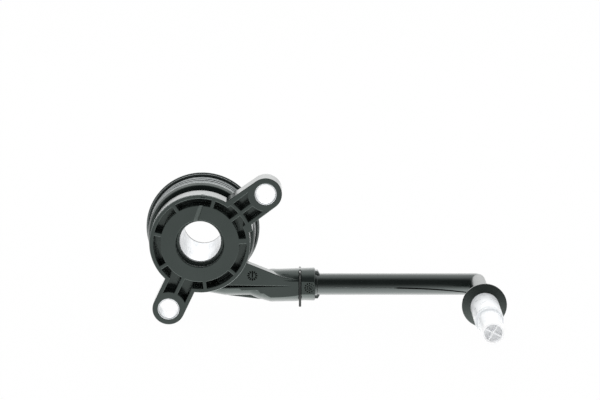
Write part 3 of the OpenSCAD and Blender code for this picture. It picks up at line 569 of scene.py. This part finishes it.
def white_room():
    """World: white to the camera, plain light to matt surfaces, and a studio in glossy ones.

    That studio varies with the height angle: a bright table lies below, the front is dim, and
    a soft ceiling and a pale wall follow. Towards either side it blends to one value.
    """
    world = bpy.data.worlds.new("white_room")
    bpy.context.scene.world = world
    world.use_nodes = True
    tree = world.node_tree
    tree.nodes.clear()
    rays = node(tree, "ShaderNodeLightPath").outputs
    direction = node(tree, "ShaderNodeTexCoord").outputs["Generated"]
    parts = node(tree, "ShaderNodeSeparateXYZ", {0: direction}).outputs
    ahead = node(tree, "ShaderNodeMath", {0: parts["Y"], 1: -1.0}, operation="MULTIPLY")
    angle = node(tree, "ShaderNodeMath", {0: parts["Z"], 1: ahead.outputs[0]},
                 operation="ARCTAN2")
    share = blend_range(tree, angle.outputs[0], 0, 1, -math.pi, math.pi)
    ramp = node(tree, "ShaderNodeValToRGB", {0: share})
    stops = ramp.color_ramp.elements
    while len(stops) < len(ROOM_LIGHT):
        stops.new(0.5)
    for stop, (degrees, level) in zip(stops, ROOM_LIGHT):
        stop.position = (degrees + 180) / 360
        stop.color = (level / ROOM_BRIGHTEST,) * 3 + (1,)
    aside = node(tree, "ShaderNodeMath", {0: parts["X"], 1: parts["X"]}, operation="MULTIPLY")
    mixed = node(tree, "ShaderNodeMix", data_type="RGBA")
    tree.links.new(aside.outputs[0], mixed.inputs[0])
    tree.links.new(ramp.outputs[0], mixed.inputs[6])
    mixed.inputs[7].default_value = (SIDE_LIGHT / ROOM_BRIGHTEST,) * 3 + (1,)
    mirrored = node(tree, "ShaderNodeBackground",
                    {"Color": mixed.outputs[2], "Strength": ROOM_BRIGHTEST})
    plain = node(tree, "ShaderNodeBackground", {"Color": (1, 1, 1, 1), "Strength": PLAIN_LEVEL})
    room = node(tree, "ShaderNodeMixShader",
                {0: rays["Is Glossy Ray"], 1: plain.outputs[0], 2: mirrored.outputs[0]})
    white = node(tree, "ShaderNodeBackground", {"Color": (1, 1, 1, 1)})
    shown = node(tree, "ShaderNodeMixShader",
                 {0: rays["Is Camera Ray"], 1: room.outputs[0], 2: white.outputs[0]})
    node(tree, "ShaderNodeOutputWorld", {"Surface": shown.outputs[0]})


def softbox(name, at, aim, size, power):
    """A large soft lamp that isn't seen itself."""
    lamp = bpy.data.lights.new(name, "AREA")
    lamp.shape = "RECTANGLE"
    lamp.size, lamp.size_y = size
    lamp.energy = power
    light = bpy.data.objects.new(name, lamp)
    light.location = at
    light.rotation_euler = (Vector(aim) - Vector(at)).to_track_quat("-Z", "Y").to_euler()
    light.visible_camera = False
    bpy.context.scene.collection.objects.link(light)


def paint(material, *names):
    """Gives CAD nodes their finish."""
    for name in names:
        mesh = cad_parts[name].data
        mesh.materials.clear()
        mesh.materials.append(material)


moulding = glass_filled_moulding()
pipe = smooth_pipe_moulding()
ring_rubber = seal_rubber()
wire = spring_steel()
SLEEVE_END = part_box("guide_sleeve")[1][1]
BUSH_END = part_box("upper_bush")[1][1]
# The dark ends of the sleeve and the bushes are painted shade.
sleeve_steel = drawn_steel("drawn_steel", (0.29, 0.305, 0.32), (0.38, 0.39, 0.40),
                           SLEEVE_END - 2.6 * MM)
bush_steel = drawn_steel("bush_steel", (0.40, 0.42, 0.43), (0.52, 0.53, 0.54),
                         BUSH_END - 0.3 * MM)
bearing = ground_bearing_steel()

paint(moulding, "housing")
paint(pipe, "feed_pipe")
paint(collar_moulding(), "spring_collar")
paint(piston_moulding(), "piston")
paint(natural_cage_moulding(), "ball_cage")
paint(milky_moulding(), "transit_cap")
paint(disc_rubber(), "bell_housing_seal")
paint(ring_rubber, "sleeve_seal_ring", "pipe_seal_ring", "connector_seal_ring", "piston_seal",
      "wiper_ring")
paint(sleeve_steel, "guide_sleeve")
paint(bush_steel, "upper_bush", "lower_bush")
paint(blackened_wire(), "retaining_clip")
paint(wire, "preload_spring", "snap_ring", "front_shield", "rear_shield")
paint(bearing, "bearing_outer_ring", "bearing_inner_ring", "bearing_balls")

wound_spring(wire)
# Dark finish of the dial marks and the seam's end: painted shade.
dial_painted_shade = dial_shade_finish()
dial_mark("arm_dial", (34.5 * MM, FLAT_Y, -22.5 * MM), [(12, 1.8 * MM, 3.5 * MM, 0.95 * MM)],
          (1.5 * MM, 2.2 * MM), math.radians(90), dial_painted_shade)
dial_mark("socket_dial", (72.5 * MM, SOCKET_FLAT_Y, -30.7 * MM),
          [(12, 2.5 * MM, 3.5 * MM, 0.9 * MM), (7, 1.1 * MM, 2.0 * MM, 0.9 * MM)],
          (0.5 * MM, 0.9 * MM), math.radians(-50), dial_painted_shade)
edge = polished_edge()
edge_bead("lower_rim_edge", RIM_R, 0, (-96.2, 12.8), 0.7 * MM, "cylinder", edge)
edge_bead("upper_rim_edge", RIM_R, 0, (59.5, 225.3), 0.45 * MM, "cylinder", edge)
COLLAR_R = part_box("spring_collar")[1][0]
COLLAR_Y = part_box("spring_collar")[0][1]
edge_bead("collar_front_bead", COLLAR_R - 0.7 * MM, COLLAR_Y, (0, 360), 1.1 * MM,
          "piston_group", edge)
edge_bead("collar_rear_bead", COLLAR_R, COLLAR_Y + 1.7 * MM, (0, 360), 1.2 * MM,
          "piston_group", edge)
pipe_seam("pipe_seam", 88 * MM, 127.6 * MM, 0.45 * MM, pipe)
# The seam's end takes the dial's dark finish: painted shade of the seam's step.
pipe_seam("pipe_seam_end", 128.7 * MM, 180 * MM, 1.0 * MM, dial_painted_shade)

# Studio
floor = pale_floor_material()
stage_plane("floor", [(-6, -6, FLOOR_Z), (6, -6, FLOOR_Z), (6, 6, FLOOR_Z), (-6, 6, FLOOR_Z)],
            floor)
white_room()
softbox("top_softbox", (0.05, 0.9, 0.7), (0.06, 0, 0), (1.2, 0.6), 1.5)

camera = bpy.data.cameras.new("camera")
camera.lens = LENS
camera.sensor_width = SENSOR
camera.clip_start = 0.05
camera.clip_end = 50
eye = bpy.data.objects.new("camera", camera)
eye.location = CAMERA_AT
eye.rotation_euler = (math.pi / 2 - CAMERA_DOWN, 0, 0)
bpy.context.scene.collection.objects.link(eye)
bpy.context.scene.camera = eye
bpy.context.scene.view_settings.view_transform = "Standard"
